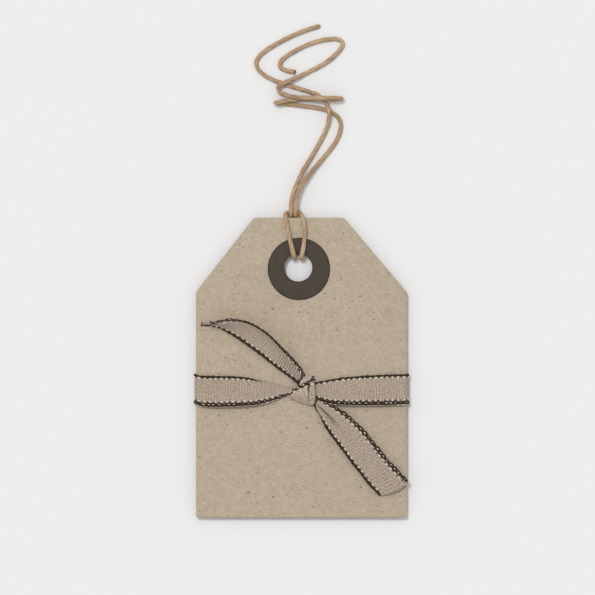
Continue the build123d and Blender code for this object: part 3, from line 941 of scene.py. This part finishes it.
# stations in mm from the knot's right side over the right edge, along the back, over the left edge and back
# to the knot: lower edge, upper edge, and the lift of the inside
flat_inside = (0.0, 0.0, 0.0)
loop_stations = [
    ((2.4, -7.0, 2.55), (2.2, -4.2, 2.5), (0.1, 0.1, 0.1)),
    ((4.1, -7.6, 2.7), (3.7, -3.7, 2.5), (0.15, 0.2, 0.15)),
    ((6.8, -8.6, 3.0), (6.8, -3.0, 2.45), (0.2, 0.3, 0.2)),
    ((9.3, -8.9, 3.3), (10.0, -2.4, 2.42), (0.1, 0.2, 0.1)),
    ((13.0, -8.98, 3.45), (13.8, -2.05, 2.4), (0.05, 0.1, 0.05)),
    ((18.7, -8.95, 3.4), (18.7, -1.7, 2.45), (0.0, 0.05, 0.0)),
    ((24.0, -8.85, 3.2), (24.0, -1.55, 2.6), flat_inside),
    ((25.25, -8.8, 3.15), (25.25, -1.52, 2.85), flat_inside),
    ((25.72, -8.77, 3.05), (25.72, -1.5, 2.95), flat_inside),
    ((26.42, -8.77, 1.9), (26.42, -1.5, 1.9), flat_inside),
    ((26.32, -8.77, 0.75), (26.32, -1.5, 0.75), flat_inside),
    ((25.4, -8.77, 0.52), (25.4, -1.5, 0.52), flat_inside),
    ((12.0, -8.75, 0.52), (12.0, -1.5, 0.52), flat_inside),
    ((0.0, -8.75, 0.52), (0.0, -1.5, 0.52), flat_inside),
    ((-12.0, -8.75, 0.52), (-12.0, -1.5, 0.52), flat_inside),
    ((-25.4, -8.68, 0.52), (-25.4, -1.4, 0.52), flat_inside),
    ((-26.15, -8.65, 0.85), (-26.15, -1.4, 0.85), flat_inside),
    ((-26.28, -8.68, 1.6), (-26.28, -1.45, 1.6), flat_inside),
    ((-26.1, -8.75, 2.4), (-26.1, -1.5, 2.3), flat_inside),
    ((-25.5, -8.95, 2.66), (-25.5, -1.7, 2.46), flat_inside),
    ((-24.2, -9.35, 3.1), (-24.3, -1.95, 2.42), flat_inside),
    ((-19.3, -9.4, 3.4), (-19.3, -1.95, 2.4), (0.0, 0.05, 0.0)),
    ((-14.0, -9.2, 3.5), (-14.4, -2.15, 2.4), (0.05, 0.1, 0.05)),
    ((-10.7, -8.95, 3.45), (-11.2, -2.7, 2.42), (0.1, 0.2, 0.15)),
    ((-7.4, -7.95, 3.2), (-7.4, -3.75, 2.5), (0.2, 0.35, 0.25)),
    ((-5.5, -7.25, 2.9), (-5.4, -4.5, 2.6), (0.25, 0.4, 0.25)),
    ((-3.2, -6.5, 2.7), (-3.1, -5.0, 2.7), (0.2, 0.3, 0.2)),
    ((-1.4, -6.3, 2.7), (-1.4, -5.3, 2.75), (0.1, 0.2, 0.1)),
    ((0.6, -6.3, 2.7), (0.4, -5.5, 2.75), (0.0, 0.1, 0.0)),
]
loop_lower = {
    "chain": [1.0, 1.0, 0.8, 1.0, 1.2, 1.4, 1.4] + [1.2] * 12
             + [1.4, 1.4, 1.3, 1.0, 0.7, 1.0, 1.4, 0.6, 0.4, 0.4],
    "fringe": True,
    "bare": [0] * 25 + [0.3, 0.9, 1, 1],
    "thick": [0] * 25 + [-0.1, -0.35, -0.3, -0.2],
}
loop_upper = {"tuck": [0] * 23 + [0.25, 0.9, 1, 1, 1, 1], "bare": [0] * 22 + [0.2, 0.8, 1, 1, 1, 1, 1]}
loop_shells = ribbon_shells(loop_stations, (loop_lower, loop_upper))
loop = build_mesh("ribbon_loop", loop_shells, [taupe_web, *edge_cottons])
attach(loop, "ribbon")
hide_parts("ribbon_band_back", "ribbon_band_left", "ribbon_band_right")

# Ribbon knot: the ribbon's ends cross and are tied once, so one fold comes over the front from the upper
# right to a point at the left, with its bound edge on top, and a second fold shows above it beside the
# upper tail.
wrap_stations = [
    ((2.9, -3.0, 2.3), (3.2, -7.9, 2.3), (0.0, 0.1, 0.0)),
    ((3.05, -2.6, 3.2), (3.35, -8.5, 2.9), (0.1, 0.15, 0.15)),
    ((2.9, -2.7, 4.05), (3.1, -9.25, 3.1), (0.7, 1.2, 0.8)),
    ((2.6, -3.0, 3.7), (2.5, -9.4, 2.6), (0.9, 1.8, 1.0)),
    ((2.3, -3.3, 3.45), (2.22, -9.38, 2.55), (-2.4, -1.5, 0.8)),
    ((1.8, -3.6, 3.45), (1.98, -9.33, 2.55), (-2.4, -1.5, 0.8)),
    ((1.5, -3.85, 3.55), (1.7, -9.27, 2.55), (0.9, 1.5, 0.8)),
    ((0.8, -4.25, 3.65), (0.8, -8.95, 2.55), (1.1, 1.4, 0.6)),
    ((-0.3, -4.85, 3.6), (-0.3, -8.6, 2.55), (1.0, 1.2, 0.5)),
    ((-1.4, -5.45, 3.3), (-1.4, -8.15, 2.5), (0.7, 0.9, 0.3)),
    ((-2.5, -6.05, 2.95), (-2.6, -7.55, 2.3), (0.35, 0.55, 0.3)),
    ((-3.5, -6.6, 2.7), (-3.5, -7.05, 2.4), (0.1, 0.2, 0.1)),
]
under_stations = [
    ((0.6, -1.9, 2.6), (3.0, -2.5, 2.5), (0.0, 0.1, 0.0)),
    ((0.25, -2.2, 3.0), (2.6, -3.0, 3.0), (0.1, 0.2, 0.1)),
    ((-0.2, -2.8, 3.15), (2.0, -3.6, 3.2), (0.1, 0.2, 0.1)),
    ((-0.6, -3.4, 3.15), (1.2, -4.2, 3.2), (0.1, 0.2, 0.1)),
    ((-0.9, -4.2, 3.0), (0.6, -4.8, 3.1), (0.0, 0.1, 0.0)),
]
wrap_upper = {"chain": 2.3}
wrap_lower = {"tuck": [0, 0, 0.5] + [1] * 9, "bare": 1}
knot_shells = ribbon_shells(wrap_stations, (wrap_upper, wrap_lower))
knot_shells += ribbon_shells(under_stations, ({"bare": 1}, None))
knot = build_mesh("ribbon_knot_folds", knot_shells, [knot_lit_web, *edge_cottons])
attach(knot, "ribbon")
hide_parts("ribbon_knot")

# Ribbon tails: the two free ends of the same ribbon, the upper one cut at a slant and the lower one nearly
# straight. The upper one comes out of the knot flat, tilts up on one edge and narrows to its tip, and the
# lower one lies nearly flat with a crease where it leaves the knot.
upper_stations = [
    ((1.0, -2.9, 2.75), (0.0, -4.5, 2.8), (0.0, 0.1, 0.0)),
    ((0.35, -1.5, 2.9), (-0.95, -3.75, 2.9), (0.1, 0.2, 0.1)),
    ((-0.9, 0.75, 3.4), (-2.8, -2.3, 3.0), flat_inside),
    ((-2.9, 3.0, 4.9), (-5.0, -0.8, 3.0), (-0.5, -0.5, -0.2)),
    ((-5.25, 5.4, 6.2), (-7.7, 1.1, 3.1), (-1.0, -1.0, -0.4)),
    ((-7.4, 7.7, 6.9), (-10.1, 3.1, 3.2), (-1.2, -1.2, -0.5)),
    ((-9.8, 9.65, 6.8), (-13.0, 5.1, 3.3), (-1.0, -1.0, -0.4)),
    ((-12.7, 11.3, 6.5), (-15.7, 7.15, 3.3), (-0.4, -0.5, -0.3)),
    ((-15.1, 11.85, 6.2), (-18.2, 8.8, 3.2), (0.5, 0.3, 0.0)),
    ((-17.4, 11.95, 6.0), (-20.2, 10.0, 3.0), (0.9, 0.7, 0.3)),
    ((-19.7, 11.6, 5.8), (-22.0, 10.5, 2.7), (0.7, 0.5, 0.2)),
    ((-21.3, 11.1, 5.3), (-23.5, 10.7, 2.5), (0.2, 0.2, 0.1)),
    ((-22.4, 10.95, 4.4), (-24.8, 10.75, 2.35), flat_inside),
]
upper_raised = {
    "chain": [1.2, 1.3, 1.4, 1.3, 0.9, 0.3, 0, 0, 0.3, 1.6, 2.4, 2.4, 2.0],
    "thick": [0.1] * 5 + [0] * 4 + [-0.1, -0.1, -0.2, -0.2],
    "turn": [0] * 9 + [0.5, 1, 1, 1],
    "bare": [0] * 5 + [1] * 3 + [0.8, 0.1] + [0] * 3,
}
upper_resting = {
    "chain": [0] * 10 + [0.5, 1.5, 1.2],
    "thick": [0.4] * 9 + [0.2, 0.0, 0.0, -0.1],
    "turn": [0] * 10 + [0.5, 1, 1],
}
slight_crown = (0.1, 0.1, 0.15, 0.15, 0.15, 0.1, 0.1)
no_shift = (0.0,) * 7
bowed_end = (0.5, 0.9, 1.1, 1.2, 1.1, 0.9, 0.5)
lower_stations = [
    ((3.85, -8.05, 3.1), (3.9, -7.4, 2.8), (0.0, 0.1, -0.2, 0.1, 0.1, 0.1, 0.0),
     (0.0, 0.04, 0.0, 0.0, 0.0, 0.0, 0.0)),
    ((3.1, -9.35, 3.0), (4.15, -7.75, 2.9), (0.1, 0.5, -0.6, 0.5, 0.4, 0.3, 0.1),
     (0.0, 0.04, -0.02, -0.02, 0.0, 0.0, 0.0)),
    ((4.3, -11.6, 2.8), (6.4, -8.85, 3.1), (0.2, 0.8, -1.3, 0.9, 0.6, 0.4, 0.2),
     (0.0, 0.15, 0.10, 0.04, 0.0, 0.0, 0.0)),
    ((5.35, -13.9, 2.7), (9.2, -10.35, 3.3), (0.2, 0.6, -1.1, 0.8, 0.5, 0.4, 0.2),
     (0.0, 0.15, 0.10, 0.04, 0.0, 0.0, 0.0)),
    ((7.0, -16.6, 2.7), (12.3, -12.6, 3.4), (0.15, 0.3, -0.3, 0.35, 0.3, 0.2, 0.1),
     (0.0, 0.1, 0.08, 0.03, 0.0, 0.0, 0.0)),
    ((9.3, -19.5, 2.7), (15.4, -15.6, 3.5), slight_crown),
    ((11.95, -23.2, 2.7), (18.45, -19.4, 3.5), slight_crown),
    ((14.2, -25.9, 2.7), (20.75, -22.3, 3.5), slight_crown),
    ((16.65, -29.3, 2.65), (23.7, -25.55, 3.4), slight_crown),
    ((18.9, -31.5, 2.6), (26.3, -28.0, 3.3), slight_crown, no_shift, bowed_end),
]
lower_left = {"bare": [1, 1, 0.8] + [0] * 7, "thick": [0.4, 0.5, -1.3, 0.3] + [0.3] * 6}
lower_right = {"thick": 0.1, "chain": [0.8] * 3 + [1.5] * 7, "bare": [1, 0.7] + [0] * 8}
# each tail's name, stations, edges, cloth and body, where it bends in mm, and which way it leaves the knot
for tail_name, stations, edges, cloth, body, bend, away in (
    ("ribbon_upper_tail", upper_stations, (upper_raised, upper_resting), root_shaded_web, "tail_upper",
     (-0.46, -2.93, 3.18), (-0.83, 0.56, 0)),
    ("ribbon_lower_tail", lower_stations, (lower_left, lower_right), taupe_web, "tail_lower",
     (3.85, -8.90, 3.18), (0.71, -0.71, 0)),
):
    tail = build_mesh(tail_name, ribbon_shells(stations, edges), [cloth, *edge_cottons])
    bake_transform(tail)
    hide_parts("ribbon_" + body)

# Floor: the plain pale sheet that the tag lies on, matt and wider than any view, which takes its shadow.
# The backdrop has the same colour.
pale_grey = linear("#eeeeee")
floor_size = 3
bpy.ops.object.select_all(action="DESELECT")
bpy.ops.mesh.primitive_plane_add(size=floor_size, location=(0, 0, 0))
floor = bpy.context.object
floor.name = "floor"
floor_paper, tree, shader = new_material("pale_floor")
set_inputs(tree, shader, {"Base Color": pale_grey, "Roughness": 1.0, "Specular IOR Level": 0.0})
floor.data.materials.append(floor_paper)

# Light: a bright even room and one broad soft lamp high at the upper left, together at a plain level.
# The camera and glossy surfaces see the pale backdrop in place of the room.
room_level = 0.60
lamp_level = 0.40
lamp_direction = Vector((0.23, -0.35, -1.0))
lamp_spread = 14
world = bpy.data.worlds.new("studio")
bpy.context.scene.world = world
world.use_nodes = True
tree = world.node_tree
tree.nodes.clear()
ray = add_node(tree, "ShaderNodeLightPath").outputs
seen = add_node(tree, "ShaderNodeMath", {
    0: ray["Is Camera Ray"], 1: ray["Is Glossy Ray"],
}, operation="MAXIMUM")
room = add_node(tree, "ShaderNodeBackground", {"Color": (1, 1, 1, 1), "Strength": room_level})
backdrop = add_node(tree, "ShaderNodeBackground", {"Color": pale_grey, "Strength": 1})
surroundings = add_node(tree, "ShaderNodeMixShader", {0: seen, 1: room, 2: backdrop})
add_node(tree, "ShaderNodeOutputWorld", {"Surface": surroundings})
lamp_data = bpy.data.lights.new("soft_lamp", "SUN")
lamp_data.angle = math.radians(lamp_spread)
lamp_data.energy = lamp_level * math.pi / abs(lamp_direction.normalized().z)
lamp = bpy.data.objects.new("soft_lamp", lamp_data)
lamp.rotation_euler = lamp_direction.to_track_quat("-Z", "Y").to_euler()
bpy.context.scene.collection.objects.link(lamp)

# Camera: straight above the tag with no perspective, its eyelet end up.
# Its frame is as wide as the picture, from the size of one pixel on the real tag.
picture_width = 595
pixel_size = 0.247 * MM
camera_place = Vector((-0.94, 17.29, 300)) * MM
camera_data = bpy.data.cameras.new("camera")
camera_data.type = "ORTHO"
camera_data.ortho_scale = picture_width * pixel_size
camera = bpy.data.objects.new("camera", camera_data)
camera.location = camera_place
bpy.context.scene.collection.objects.link(camera)
bpy.context.scene.camera = camera
bpy.context.scene.view_settings.view_transform = "Standard"
